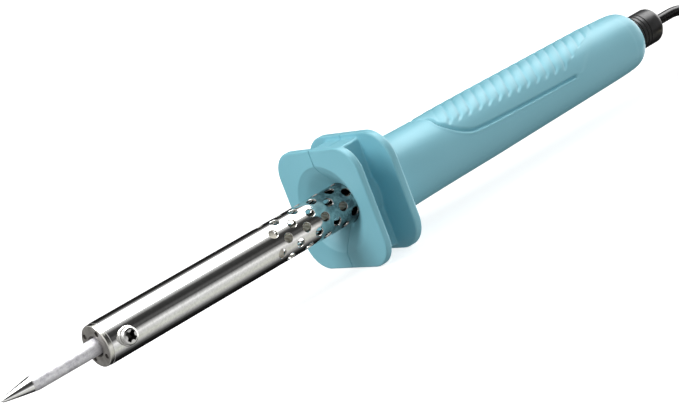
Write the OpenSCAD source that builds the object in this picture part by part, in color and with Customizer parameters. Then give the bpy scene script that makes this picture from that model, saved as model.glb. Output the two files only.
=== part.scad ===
// Pencil-grip soldering iron for stained glass: a replaceable bit held by a
// clamp screw in a perforated steel barrel, a two-part moulded handle with a
// double square guard, and a mains lead wound up behind it.
// Lengths along the iron are measured from the point of the bit.

/* [Bit] */
// Diameter of the bit's shank
bit_d = 5.0; // [4.6:0.1:5.0]
// Length of the polished point
point_len = 10.5; // [8:0.5:12]
// Length of the whole bit, most of it inside the heater
bit_len = 80; // [70:1:86]

/* [Barrel] */
// Outside diameter of the barrel tube
barrel_d = 13; // [13:0.1:13.2]
// Wall of the barrel tube
barrel_wall = 0.6; // [0.5:0.05:0.6]
// Where the barrel tube starts
barrel_start = 34; // [34:0.5:36]
// Where the barrel tube ends inside the handle
barrel_end = 150; // [149:0.5:150]
// Thickness of the nose cap in front of the tube
cap_rim = 1.5; // [1:0.1:1.6]
// Position of the clamp screw
screw_at = 39.2; // [38.5:0.1:40]
// Diameter of one vent hole
vent_d = 3.0; // [2.4:0.1:3.2]
// Spacing of the vent holes along the barrel
vent_pitch = 7.5; // [7.5:0.1:7.7]
// Position of the first vent hole
vent_start = 97.7; // [97:0.1:98]

/* [Guard] */
// Width of the guard across the seam
guard_w = 39; // [37:0.2:40]
// Height of the guard along the seam
guard_h = 38.5; // [36:0.5:40]
// Corner radius of the guard
guard_corner = 9; // [6:0.5:10]
// Thickness of the guard's flanges
flange_t = 2.6; // [2.2:0.1:3]
// Front face of the first flange
flange_1 = 123.7; // [123.5:0.1:124]
// Front face of the second flange
flange_2 = 136.8; // [136:0.1:137]
// Half width of the web between the flanges
web_half = 8; // [5:0.5:8]

/* [Handle] */
// Wall of the handle shells
shell_t = 2.0; // [1.8:0.1:2.4]
// Rear end of the handle
handle_end = 266.4; // [266.4:0.2:267]
// Diameter of the handle screws' heads
handle_screw_head = 4.6; // [4:0.2:4.8]

/* [Cord] */
// Diameter of the cord
cord_d = 3.6; // [3.4:0.1:3.6]
// Rear end of the cord grommet
grommet_end = 278.6; // [278.2:0.2:279]
// Diameter of the grommet's boot
grommet_d = 12.5; // [11.5:0.1:12.8]

/* [Hidden] */
$fn = 96;

axis_h = guard_h / 2;      // height of the iron's axis over the guard's flat
mid = grommet_end / 2;     // middle of the iron's length
br = barrel_d / 2;
bi = br - barrel_wall;
sr = bit_d / 2;
lead_y = 2.6;              // the two leads lie each side of the axis
core_y = 1.0;
cone_rim = 14.1;           // mouth of the funnel in the guard
cone_end = 129.2;          // where the funnel closes on the barrel
head_y = -7.1;             // underside of the clamp screw's head
coil_at = 376;             // middle of the wound cord
coil_mean = 21.6;
coil_half = 6.1;
coil_z0 = 0.6;
coil_high = 14.4;
plug_y = -16;
plug_z = 6.5;

teal = [0.50, 0.74, 0.80];
dark = [0.10, 0.10, 0.11];
steel = [0.78, 0.78, 0.77];

// handle outline: radius, distance from the point of the bit
outline = [[14.6, 139.2], [13.5, 140.0], [12.8, 141.2], [12.3, 144], [11.85, 152],
  [11.7, 160], [11.6, 167], [11.45, 189], [11.15, 210], [10.85, 232], [10.5, 254],
  [10.35, 258], [10.2, 260.5], [9.95, 262.3], [9.6, 263.5], [9.1, 264.5],
  [8.45, 265.2], [7.6, 265.8], [6.9, 266.2], [6.6, handle_end]];
hollow = [[11.75 - shell_t, 152], [11.45 - shell_t, 189], [10.85 - shell_t, 232],
  [10.4 - shell_t, 256], [7.0, 259.5]];

// ---- helpers -------------------------------------------------------------
// everything is drawn along the bit's axis and then put on the row's frame
module place() { translate([-mid, 0, axis_h]) children(); }
// solid of revolution about the iron's axis from [radius, distance] points
module rev(p) { rotate([0, 90, 0]) rotate_extrude() polygon(p); }
module tube(r1, r2, a, b) { rev([[r1, a], [r2, a], [r2, b], [r1, b]]); }
module rod(r, a, b, y = 0, z = 0) {
  translate([a, y, z]) rotate([0, 90, 0]) cylinder(r = r, h = b - a);
}
// cylinder across the iron, from y1 to y2
module cross_rod(r, x, y1, y2, z = 0) {
  translate([x, y1, z]) rotate([-90, 0, 0]) cylinder(r = r, h = y2 - y1);
}
module round_rect(w, h, r) {
  square([w - 2 * r, h], center = true);
  square([w, h - 2 * r], center = true);
  for (sx = [-1, 1], sy = [-1, 1])
    translate([sx * (w / 2 - r), sy * (h / 2 - r)]) circle(r = r);
}
// rounded plate that stands across the iron
module plate(x, t, w, h, r) {
  translate([x, 0, 0]) rotate([90, 0, 90]) linear_extrude(t) round_rect(w, h, r);
}
function unit(v) = v / norm(v);
function at(p, i) = p[max(0, min(len(p) - 1, i))];
function dir(p, i) = unit(at(p, i + 1) - at(p, i - 1));
// tube swept along points, eight sides
module sweep(p, r, n = 8) {
  pts = [for (i = [0:len(p) - 1]) let (t = dir(p, i),
    u = unit(cross([0, 0, 1], t)), v = cross(t, u))
    for (k = [0:n - 1]) p[i] + r * (cos(360 * (k + 0.5) / n) * u
      + sin(360 * (k + 0.5) / n) * v)];
  m = len(p);
  faces = concat([[for (k = [0:n - 1]) k]],
    [[for (k = [n - 1:-1:0]) (m - 1) * n + k]],
    [for (i = [0:m - 2], k = [0:n - 1]) let (a = i * n + k,
      b = i * n + (k + 1) % n) [a, a + n, b]],
    [for (i = [0:m - 2], k = [0:n - 1]) let (a = i * n + k,
      b = i * n + (k + 1) % n) [b, a + n, b + n]]);
  polyhedron(points = pts, faces = faces);
}
// ---- hot end -------------------------------------------------------------
module soldering_tip() {
  color("silver") place()
    rev([[0, 0], [0.35, 0], [0.58, 0.3], [sr - 0.1, point_len + 0.4],
      [sr, point_len + 1.1], [sr, bit_len - 0.4], [sr - 0.4, bit_len], [0, bit_len]]);
}

module nose_cap() {
  color([0.72, 0.70, 0.66]) place() difference() {
    rev([[sr + 0.1, barrel_start - cap_rim + 0.5], [sr + 0.6, barrel_start - cap_rim],
      [br - 0.4, barrel_start - cap_rim], [br - 0.15, barrel_start - cap_rim + 0.25],
      [br - 0.15, barrel_start], [bi - 0.05, barrel_start], [bi - 0.05, barrel_start + 10],
      [sr + 0.1, barrel_start + 10]]);
    // threaded hole for the clamp screw
    cross_rod(1.55, screw_at, -br, 0);
    // four stake marks in the face
    for (a = [0:3]) rotate([52 + 90 * a, 0, 0])
      rod(0.8, barrel_start - cap_rim - 1, barrel_start - cap_rim + 0.5, -4.75, 0);
  }
}

module barrel() {
  color(steel) place() difference() {
    tube(bi, br, barrel_start, barrel_end);
    cross_rod(1.7, screw_at, -br - 1, 0);
    // staggered vent holes, twelve rows round the tube
    for (k = [0:11], i = [0:4]) if (k % 2 == 0 || i < 4)
      translate([vent_start + (k % 2) * vent_pitch / 2 + i * vent_pitch, 0, 0])
        rotate([-38 + 30 * k, 0, 0]) cross_rod(vent_d / 2, 0, -br - 1, -bi + 1);
  }
}

module clamp_screw() {
  color(steel) place() difference() {
    union() {
      // pan head with a domed edge
      translate([screw_at, head_y, 0]) rotate([90, 0, 0]) rotate_extrude()
        polygon([[0, 0], [2.6, 0], [2.6, 0.8], [2.35, 1.3], [1.9, 1.6], [0, 1.6]]);
      cross_rod(1.5, screw_at, head_y, -sr - 0.05);
    }
    // cross recess
    for (a = [45, 135]) translate([screw_at, head_y - 1.2, 0]) rotate([0, a, 0])
      cube([3.0, 1.8, 0.95], center = true);
  }
}

module screw_washer() {
  color([0.6, 0.6, 0.6]) place() difference() {
    cross_rod(3.4, screw_at, head_y, -br - 0.05);
    cross_rod(1.6, screw_at, head_y - 1, -br + 1);
  }
}

module heater_former() {
  color([0.93, 0.91, 0.85]) place()
    rev([[sr + 0.25, 48], [5.2, 48], [5.2, 50], [4.3, 50], [4.3, 92], [5.2, 92],
      [5.2, 94], [sr + 0.25, 94]]);
}

module heater_winding() {
  color([0.45, 0.42, 0.40]) place()
    rev(concat([[4.3, 50.2]],
      [for (i = [0:31]) for (e = [[4.45, 0], [4.9, 0.45], [4.9, 0.85]]) [e[0], 50.2 + 1.3 * i + e[1]]],
      [[4.45, 91.8], [4.3, 91.8]]));
}

module mica_sleeve() {
  color([0.75, 0.68, 0.50]) place() tube(5.25, 5.55, 46, 95);
}

module rear_bead() {
  color([0.93, 0.91, 0.85]) place() difference() {
    rod(5.5, 95.2, 99);
    for (s = [-1, 1]) rod(0.5, 95, 99.2, s * lead_y);
  }
}

module barrel_collar() {
  color(steel) place() tube(br + 0.02, 9.0, 146, 147.5);
}

// ---- wiring --------------------------------------------------------------
module lead(s) {
  color([0.7, 0.68, 0.62]) place() rod(0.4, 94.05, 181.8, s * lead_y);
}
module live_lead() { lead(1); }
module neutral_lead() { lead(-1); }

module sleeving(s) {
  color([0.9, 0.88, 0.8]) place() translate([0, s * lead_y, 0]) tube(0.45, 0.9, 99.1, 175.8);
}
module live_sleeving() { sleeving(1); }
module neutral_sleeving() { sleeving(-1); }

module crimp(s) {
  color("silver") place() translate([0, s * lead_y, 0]) tube(0.95, 1.5, 176, 187);
}
module live_crimp() { crimp(1); }
module neutral_crimp() { crimp(-1); }

module core(s, c) {
  color(c) place()
    sweep([[182, s * lead_y, 0], [204, s * lead_y, 0], [226, s * lead_y, 0],
      [237, s * core_y, 0], [240, s * core_y, 0]], 0.9);
}
module live_core() { core(1, [0.45, 0.25, 0.12]); }
module neutral_core() { core(-1, [0.2, 0.4, 0.75]); }

module cord_entry() {
  color(dark) place() rod(cord_d / 2, 240, grommet_end);
}

module cord_clamp() {
  color([0.85, 0.84, 0.8]) place() difference() {
    translate([245, cord_d / 2 + 0.02, -7]) cube([6, 2, 14]);
    for (s = [-1, 1]) cross_rod(1.2, 248, 0, 6, s * 4.6);
  }
}

module cord_clamp_screws() {
  color(steel) place() for (s = [-1, 1]) {
    cross_rod(1.1, 248, -5, cord_d / 2 + 2.03, s * 4.6);
    cross_rod(2.0, 248, cord_d / 2 + 2.03, cord_d / 2 + 3.4, s * 4.6);
  }
}

module cord_grommet() {
  color(dark) place() difference() {
    rev([[0, 259.6], [5.0, 259.6], [5.0, 262.1], [7.4, 262.1], [7.4, 264.5], [5.0, 264.5],
      [5.0, handle_end], [grommet_d / 2, handle_end], [grommet_d / 2, handle_end + 1.2],
      [grommet_d / 2 - 0.4, handle_end + 1.5], [grommet_d / 2, handle_end + 1.8],
      [grommet_d / 2, handle_end + 2.8], [grommet_d / 2 - 0.4, handle_end + 3.1],
      [grommet_d / 2, handle_end + 3.4], [grommet_d / 2, grommet_end - 2.2],
      [grommet_d / 2 - 0.7, grommet_end - 0.8], [grommet_d / 2 - 2.2, grommet_end],
      [0, grommet_end]]);
    rod(cord_d / 2 + 0.05, 259, grommet_end + 1);
  }
}

// ---- handle --------------------------------------------------------------
module handle_body() {
  difference() {
    union() {
      rev(concat([[0, 139.2]], outline, [[0, handle_end]]));
      // neck behind the funnel
      rev([[0, flange_1 + 1], [12.0, flange_1 + 1], [12.0, flange_1 + flange_t], [9.2, 129.6],
        [9.2, flange_2 + 1], [0, flange_2 + 1]]);
      for (p = [[flange_1, flange_t], [flange_2, flange_t + 0.2]]) {
        plate(p[0], 0.5, guard_w - 1, guard_h - 1, guard_corner - 0.5);
        plate(p[0] + 0.4, p[1] - 0.8, guard_w, guard_h, guard_corner);
        plate(p[0] + p[1] - 0.5, 0.5, guard_w - 1, guard_h - 1, guard_corner - 0.5);
      }
      for (s = [-1, 1]) translate([flange_1 + 1, -web_half, s > 0 ? 6 : -axis_h + 1.7])
        cube([flange_2 - flange_1, 2 * web_half, axis_h - 7.7]);
    }
    // funnel, barrel hole, collar groove, barrel stop
    rev([[0, flange_1 - 0.1], [cone_rim + 0.13, flange_1 - 0.1], [br + 0.1, cone_end],
      [br + 0.1, 145.9], [9.1, 145.9], [9.1, 147.6], [br + 0.1, 147.6],
      [br + 0.1, barrel_end + 0.2], [bi, barrel_end + 0.2], [bi, 152.05], [0, 152.05]]);
    // hollow grip and the grommet's seat
    rev(concat([[0, 152]], hollow, [[5.1, 259.5], [5.1, 262], [7.5, 262], [7.5, 264.6],
      [5.1, 264.6], [5.1, handle_end + 1], [0, handle_end + 1]]));
  }
}

boss = [[158, 6], [206, -6], [236, 6]];

module handle_half(s) {
  color(teal) place() difference() {
    union() {
      intersection() {
        handle_body();
        translate([120, s > 0 ? 0.03 : -40.03, -30]) cube([160, 40, 60]);
      }
      intersection() {
        rev([[0, 150], [10.2, 150], [9.5, 256], [0, 256]]);
        union() {
          for (b = boss) cross_rod(2.7, b[0], s > 0 ? 0.03 : -12, s > 0 ? 12 : -0.03, b[1]);
          // saddle under the cord, in the right shell only
          if (s < 0) translate([245, -12, -7]) cube([6, 12 - cord_d / 2 - 0.02, 14]);
        }
      }
    }
    for (b = boss) {
      cross_rod(s > 0 ? 1.35 : 1.0, b[0], s > 0 ? 0 : -7, s > 0 ? 14 : 0.1, b[1]);
      if (s > 0) cross_rod(handle_screw_head / 2 + 0.2, b[0], 6.4, 14, b[1]);
    }
    if (s < 0) for (z = [-4.6, 4.6]) cross_rod(1.15, 248, -5.5, 0, z);
  }
}
module handle_left() { handle_half(1); }
module handle_right() { handle_half(-1); }

module handle_screws() {
  color([0.35, 0.35, 0.36]) place() for (b = boss) difference() {
    union() {
      cross_rod(0.95, b[0], -6.6, 6.45, b[1]);
      cross_rod(handle_screw_head / 2, b[0], 6.42, 8.0, b[1]);
    }
    for (a = [0, 90]) translate([b[0], 8, b[1]]) rotate([0, a, 0])
      cube([2.6, 1.8, 0.6], center = true);
  }
}

// ---- cord ----------------------------------------------------------------
lead_in = [[278.6, 0, 19.25], [284, 0, 19.25], [289.5, 0, 19.2], [293.1, 0, 18.6],
  [296.5, 0, 17.2], [299.5, 0, 15.1], [301.8, 0, 12.6], [304.9, 0, 8.9],
  [308.7, 0, 5.9], [313, 0, 3.6], [317.7, 0, 2.3], [322.5, 0, 1.9],
  [329, 0, 2.0], [336, 0, 2.2], [342.7, 1.3, 2.3], [348.5, 5.1, 2.4],
  [352.4, 10.6, 2.4]];
run_out = [[359.4, -19.8, 13.2], [355.2, -17.5, 12.9], [351.4, -16.3, 11.7],
  [347.4, -16, 9.5], [343.4, -16, 7.5], [339.6, -16, 6.5], [336.05, -16, 6.5]];

module cord() {
  color(dark) {
    translate([-mid, 0, 0]) sweep(lead_in, cord_d / 2);
    translate([-mid, 0, 0]) sweep(run_out, cord_d / 2);
  }
}

module cord_coil() {
  a = coil_mean - coil_half;
  b = coil_mean + coil_half;
  c = 1.6;
  color(dark) translate([coil_at - mid, 0, coil_z0]) rotate_extrude() polygon([
    [a + c, 0], [b - c, 0], [b, c], [b, coil_high - c], [b - c, coil_high],
    [a + c, coil_high], [a, coil_high - c], [a, c]]);
}

module cord_tie() {
  color([0.16, 0.16, 0.17]) translate([coil_at - mid - 4, 0, 0]) difference() {
    translate([0, 21.35, 7.9]) rotate([90, 0, 90]) linear_extrude(8) round_rect(14.5, 15.8, 2);
    translate([-1, 21.35, 7.85]) rotate([90, 0, 90]) linear_extrude(10) round_rect(13.1, 14.5, 1.4);
  }
}

module plug_body() {
  color(dark) translate([-mid, plug_y, plug_z]) difference() {
    union() {
      translate([300, 0, -6.5]) linear_extrude(13) translate([12, 0]) round_rect(24, 22, 4);
      rev([[0, 323], [5.4, 323], [5.4, 326], [2.8, 336], [0, 336]]);
    }
    for (s = [-1, 1]) translate([299, s * 6.35 - 0.8, -3.2]) cube([5.05, 1.6, 6.4]);
  }
}

module plug_blades() {
  color([0.80, 0.76, 0.62]) translate([-mid, plug_y, plug_z]) for (s = [-1, 1]) difference() {
    translate([284, s * 6.35 - 0.75, -3.15]) cube([20, 1.5, 6.3]);
    cross_rod(1.6, 288, s * 6.35 - 2, s * 6.35 + 2);
  }
}

soldering_tip();
nose_cap();
barrel();
clamp_screw();
screw_washer();
heater_former();
heater_winding();
mica_sleeve();
rear_bead();
barrel_collar();
live_lead();
neutral_lead();
live_sleeving();
neutral_sleeving();
live_crimp();
neutral_crimp();
live_core();
neutral_core();
cord_entry();
cord_clamp();
cord_clamp_screws();
cord_grommet();
handle_left();
handle_right();
handle_screws();
cord();
cord_coil();
cord_tie();
plug_body();
plug_blades();
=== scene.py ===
import math
import bpy
import bmesh
import numpy as np
from mathutils import Matrix, Vector


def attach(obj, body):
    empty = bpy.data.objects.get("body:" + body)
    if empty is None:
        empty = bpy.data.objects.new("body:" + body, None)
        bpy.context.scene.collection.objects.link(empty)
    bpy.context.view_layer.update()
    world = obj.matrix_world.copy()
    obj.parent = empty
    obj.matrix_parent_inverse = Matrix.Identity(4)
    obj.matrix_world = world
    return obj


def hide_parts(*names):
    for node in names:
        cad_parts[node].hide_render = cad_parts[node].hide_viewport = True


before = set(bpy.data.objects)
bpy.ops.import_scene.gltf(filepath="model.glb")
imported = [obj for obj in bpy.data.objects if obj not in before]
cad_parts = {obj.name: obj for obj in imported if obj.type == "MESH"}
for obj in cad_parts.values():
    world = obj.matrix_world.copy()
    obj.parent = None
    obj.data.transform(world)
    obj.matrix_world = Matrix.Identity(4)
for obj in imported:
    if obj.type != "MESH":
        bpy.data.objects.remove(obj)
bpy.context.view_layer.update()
SC = bpy.context.scene
LINK = SC.collection.objects.link
# Lengths below are in mm, x from the point of the bit, y and z from the iron's axis. M turns them into the row frame.
MID, AXIS = 139.3, 19.25


def M(p):
    p = np.asarray(p, float).copy()
    p[..., 0] -= MID
    p[..., 2] += AXIS
    return p * 0.001


# ---------------------------------------------------------------- camera
cam_data = bpy.data.cameras.new("camera")
cam_data.lens, cam_data.sensor_width, cam_data.sensor_fit = 112.67, 36.0, "HORIZONTAL"
cam_data.shift_x, cam_data.shift_y = -0.5 / 679, 0.5 / 679
cam_data.clip_start, cam_data.clip_end = 0.01, 50
cam = bpy.data.objects.new("camera", cam_data)
LINK(cam)
rt, up, fw = (0.70713168, -0.6130294, -0.35236308), (0.41023812, -0.05019032, 0.9105963), (0.57590752, 0.78846426, -0.21599687)
cm = Matrix.Identity(4)
for i in range(3):
    cm[i][0], cm[i][1], cm[i][2] = rt[i], up[i], -fw[i]
cm.translation = (-0.380305, -0.504890, 0.157815)
cam.matrix_world = cm
SC.camera = cam

# ---------------------------------------------------------------- mesh helpers


def build(name, verts, faces, mat=None, body="iron", nodes=(), sharp=35, raw=False):
    me = bpy.data.meshes.new(name)
    v = np.asarray(verts, float)
    me.from_pydata((v if raw else M(v)).tolist(), [], [tuple(int(i) for i in f) for f in faces])
    me.validate()
    me.update()
    bm = bmesh.new()
    bm.from_mesh(me)
    bmesh.ops.recalc_face_normals(bm, faces=bm.faces)
    bm.to_mesh(me)
    bm.free()
    smooth(me, sharp)
    o = bpy.data.objects.new(name, me)
    LINK(o)
    if mat:
        me.materials.append(mat)
    if body:
        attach(o, body)
    if nodes:
        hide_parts(*nodes)
    return o


def smooth(me, sharp):
    me.polygons.foreach_set("use_smooth", [True] * len(me.polygons))
    me.set_sharp_from_angle(angle=math.radians(sharp))


def lathe(profile, n=96, axis="x", centre=(0, 0, 0)):
    """Closed solid of revolution. profile is [(position along the axis, radius)], from one end to the other; radius 0 is a pole."""
    rings, verts, faces = [], [], []
    for a, r in profile:
        if r < 1e-6:
            rings.append([len(verts)])
            verts.append((a, 0, 0))
        else:
            rings.append(list(range(len(verts), len(verts) + n)))
            for k in range(n):
                t = 2 * math.pi * k / n
                verts.append((a, r * math.cos(t), r * math.sin(t)))
    closed = len(rings[0]) > 1
    pairs = list(zip(rings, rings[1:] + ([rings[0]] if closed else [])))
    if not closed:
        pairs = pairs[: len(rings) - 1]
    for a, b in pairs:
        if len(a) == 1 and len(b) == 1:
            continue
        for k in range(n):
            k2 = (k + 1) % n
            if len(a) == 1:
                faces.append((a[0], b[k], b[k2]))
            elif len(b) == 1:
                faces.append((a[k], b[0], a[k2]))
            else:
                faces.append((a[k], b[k], b[k2], a[k2]))
    v = np.array(verts)
    if axis == "y":
        v = np.stack([v[:, 1], v[:, 0], v[:, 2]], 1)
    elif axis == "z":
        v = np.stack([v[:, 1], v[:, 2], v[:, 0]], 1)
    return v + np.array(centre, float), faces


def arc(cx, cy, r, a0, a1, n=6):
    return [(cx + r * math.cos(math.radians(a0 + (a1 - a0) * i / n)), cy + r * math.sin(math.radians(a0 + (a1 - a0) * i / n))) for i in range(n + 1)]


def join(parts):
    verts, faces, at = [], [], 0
    for v, f in parts:
        v = np.asarray(v, float)
        verts.append(v)
        faces += [tuple(i + at for i in q) for q in f]
        at += len(v)
    return np.concatenate(verts), faces


def tube(points, r, n=20, caps=True):
    """Round tube along points, with a frame carried along without twist."""
    p = np.asarray(points, float)
    t = np.gradient(p, axis=0)
    t /= np.linalg.norm(t, axis=1)[:, None]
    u = np.cross([0, 0, 1.0], t[0])
    u /= np.linalg.norm(u)
    verts, faces = [], []
    rr = np.broadcast_to(r, (len(p),))
    for i in range(len(p)):
        u = u - t[i] * (u @ t[i])
        u /= np.linalg.norm(u)
        w = np.cross(t[i], u)
        for k in range(n):
            a = 2 * math.pi * k / n
            verts.append(p[i] + rr[i] * (math.cos(a) * u + math.sin(a) * w))
    for i in range(len(p) - 1):
        for k in range(n):
            a, b = i * n + k, i * n + (k + 1) % n
            faces.append((a, b, b + n, a + n))
    if caps:
        faces.append(tuple(range(n - 1, -1, -1)))
        faces.append(tuple(range((len(p) - 1) * n, len(p) * n)))
    return np.array(verts), faces


def spline(points, step):
    """Catmull-Rom curve through points, sampled about every step mm."""
    p = [np.asarray(q, float) for q in points]
    p = [2 * p[0] - p[1]] + p + [2 * p[-1] - p[-2]]
    out = []
    for i in range(1, len(p) - 2):
        a, b, c, d = p[i - 1 : i + 3]
        n = max(1, int(round(np.linalg.norm(c - b) / step)))
        for k in range(n):
            t = k / n
            out.append(0.5 * (2 * b + (c - a) * t + (2 * a - 5 * b + 4 * c - d) * t * t + (3 * b - a - 3 * c + d) * t ** 3))
    out.append(p[-2])
    return np.array(out)


def cut(obj, tools, op="DIFFERENCE"):
    """Exact boolean, applied to obj's mesh. tools are (verts, faces) in mm."""
    for i, (v, f) in enumerate(tools):
        t = build("cutter", v, f, body=None)
        m = obj.modifiers.new("b", "BOOLEAN")
        m.operation, m.solver, m.object = op, "EXACT", t
        dg = bpy.context.evaluated_depsgraph_get()
        me = bpy.data.meshes.new_from_object(obj.evaluated_get(dg))
        obj.modifiers.clear()
        old = obj.data
        obj.data = me
        bpy.data.meshes.remove(old)
        bpy.data.objects.remove(t)
    return obj


# ---------------------------------------------------------------- materials


class Nodes:
    def __init__(self, name):
        self.mat = bpy.data.materials.new(name)
        self.mat.use_nodes = True
        self.t = self.mat.node_tree
        self.t.nodes.clear()
        self.out = self.t.nodes.new("ShaderNodeOutputMaterial")
        self.p = self.t.nodes.new("ShaderNodeBsdfPrincipled")
        self.t.links.new(self.p.outputs[0], self.out.inputs[0])
        self.co = self.t.nodes.new("ShaderNodeTexCoord").outputs["Object"]

    def node(self, kind, **kw):
        n = self.t.nodes.new(kind)
        for k, v in kw.items():
            if k.startswith("in_"):
                n.inputs[k[3:].replace("_", " ")].default_value = v
            else:
                setattr(n, k, v)
        return n

    def link(self, a, b):
        self.t.links.new(a, b)

    def mapped(self, scale=(1, 1, 1), rot=(0, 0, 0)):
        m = self.node("ShaderNodeMapping")
        m.inputs["Scale"].default_value = scale
        m.inputs["Rotation"].default_value = rot
        self.link(self.co, m.inputs["Vector"])
        return m.outputs[0]

    def noise(self, scale, detail=4, rough=0.5, vec=None, distortion=0):
        n = self.node("ShaderNodeTexNoise")
        n.inputs["Scale"].default_value = scale
        n.inputs["Detail"].default_value = detail
        n.inputs["Roughness"].default_value = rough
        n.inputs["Distortion"].default_value = distortion
        self.link(vec if vec is not None else self.co, n.inputs["Vector"])
        return n.outputs["Fac"]

    def voronoi(self, scale, vec=None, feature="F1"):
        n = self.node("ShaderNodeTexVoronoi", feature=feature)
        n.inputs["Scale"].default_value = scale
        self.link(vec if vec is not None else self.co, n.inputs["Vector"])
        return n.outputs["Distance"]

    def math(self, op, a, b=None, c=None, clamp=False):
        n = self.node("ShaderNodeMath", operation=op)
        n.use_clamp = clamp
        for i, v in enumerate((a, b, c)):
            if v is None:
                continue
            if isinstance(v, (int, float)):
                n.inputs[i].default_value = v
            else:
                self.link(v, n.inputs[i])
        return n.outputs[0]

    def ramp(self, fac, stops, mode="LINEAR"):
        n = self.node("ShaderNodeValToRGB")
        n.color_ramp.interpolation = mode
        e = n.color_ramp.elements
        while len(e) > 1:
            e.remove(e[-1])
        e[0].position = stops[0][0]
        e[0].color = col(stops[0][1])
        for pos, c in stops[1:]:
            e.new(pos).color = col(c)
        self.link(fac, n.inputs["Fac"])
        return n.outputs["Color"]

    def rng(self, v, a, b, c, d):
        n = self.node("ShaderNodeMapRange")
        for i, x in enumerate((a, b, c, d)):
            n.inputs[i + 1].default_value = x
        self.link(v, n.inputs[0])
        return n.outputs[0]

    def mix(self, fac, a, b, kind="MIX"):
        n = self.node("ShaderNodeMix", data_type="RGBA", blend_type=kind)
        for i, v in ((0, fac), (6, a), (7, b)):
            if isinstance(v, (int, float)):
                n.inputs[i].default_value = v
            elif isinstance(v, tuple):
                n.inputs[i].default_value = col(v)
            else:
                self.link(v, n.inputs[i])
        return n.outputs[2]

    def bump(self, height, strength, dist, normal=None):
        n = self.node("ShaderNodeBump")
        n.inputs["Strength"].default_value = strength
        n.inputs["Distance"].default_value = dist
        self.link(height, n.inputs["Height"])
        if normal is not None:
            self.link(normal, n.inputs["Normal"])
        return n.outputs[0]

    def set(self, **kw):
        for k, v in kw.items():
            s = self.p.inputs[k.replace("_", " ")]
            if hasattr(v, "links") or hasattr(v, "is_output"):
                self.link(v, s)
            else:
                s.default_value = col(v) if isinstance(v, tuple) else v
        return self.mat


def col(c):
    if isinstance(c, (int, float)):
        c = (c, c, c)
    return tuple(c) + (1.0,) if len(c) == 3 else tuple(c)


def lin(r, g, b):
    return tuple((x / 255 / 12.92 if x / 255 <= 0.04045 else ((x / 255 + 0.055) / 1.055) ** 2.4) for x in (r, g, b))


def mat_plastic():
    m = Nodes("moulded_blue")
    big = m.noise(30, 3, 0.5)
    base = m.ramp(big, [(0.3, (0.205, 0.515, 0.610)), (0.7, (0.232, 0.547, 0.645))])
    fine = m.noise(2600, 3, 0.6)
    speck = m.voronoi(1500)
    h = m.math("ADD", m.math("MULTIPLY", fine, 0.6), m.math("MULTIPLY", speck, 0.4))
    wear = m.noise(220, 5, 0.6)
    r1 = m.rng(wear, 0.3, 0.7, 0.43, 0.49)
    return m.set(Base_Color=base, Roughness=r1, Normal=m.bump(h, 0.10, 0.00005), Specular_IOR_Level=0.5, IOR=1.5)


def mat_barrel():
    m = Nodes("polished_tube")
    lines = m.noise(900, 4, 0.6, m.mapped((0.06, 1, 1)))
    cloud = m.noise(110, 5, 0.6)
    scr = m.noise(420, 6, 0.7, m.mapped((1, 0.15, 0.15)))
    sep = m.node("ShaderNodeSeparateXYZ")
    m.link(m.co, sep.inputs[0])
    # warm tint towards the hot middle of the tube
    tint = m.rng(sep.outputs[0], -0.075, 0.0, 0.0, 1.0)
    base = m.mix(tint, (0.86, 0.86, 0.85), (0.78, 0.77, 0.74))
    base = m.mix(m.rng(cloud, 0.45, 0.75, 0.0, 0.35), base, (0.66, 0.64, 0.61))
    # darker flecks all along the tube; then painted shade in and just ahead of the guard's mouth, partly heat tarnish
    fleck = m.noise(1300, 5, 0.7)
    base = m.mix(m.rng(fleck, 0.44, 0.62, 0.0, 0.32), base, (0.56, 0.57, 0.54))
    # painted shade: near masks spots of near-black base rising from x 110 to 122 mm and full inside the mouth, dimming
    # the tube's reflection where the funnel lies in shade
    mouth_shade_spots = m.noise(400, 5, 0.65)
    near = m.math("MULTIPLY", m.rng(sep.outputs[0], -0.029, -0.017, 0.0, 1.0), m.rng(mouth_shade_spots, 0.38, 0.58, 0.35, 1.0))
    base = m.mix(near, base, (0.17, 0.175, 0.18))
    r = m.math("ADD", m.rng(lines, 0.3, 0.7, 0.055, 0.10), m.rng(scr, 0.55, 0.75, 0.0, 0.05))
    return m.set(Base_Color=base, Metallic=1.0, Roughness=r, Normal=m.bump(lines, 0.05, 0.00002))


def mat_metal(name, base, dark, rough, scale=600, spread=0.08, bump=0.1, stretch=(1, 1, 1)):
    m = Nodes(name)
    a = m.noise(scale, 5, 0.65, m.mapped(stretch))
    b = m.noise(scale * 0.25, 4, 0.6)
    c = m.mix(m.rng(b, 0.35, 0.7, 0.0, 0.8), base, dark)
    return m.set(Base_Color=c, Metallic=1.0, Roughness=m.rng(a, 0.3, 0.7, rough - spread / 2, rough + spread / 2), Normal=m.bump(a, bump, 0.00003))


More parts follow.
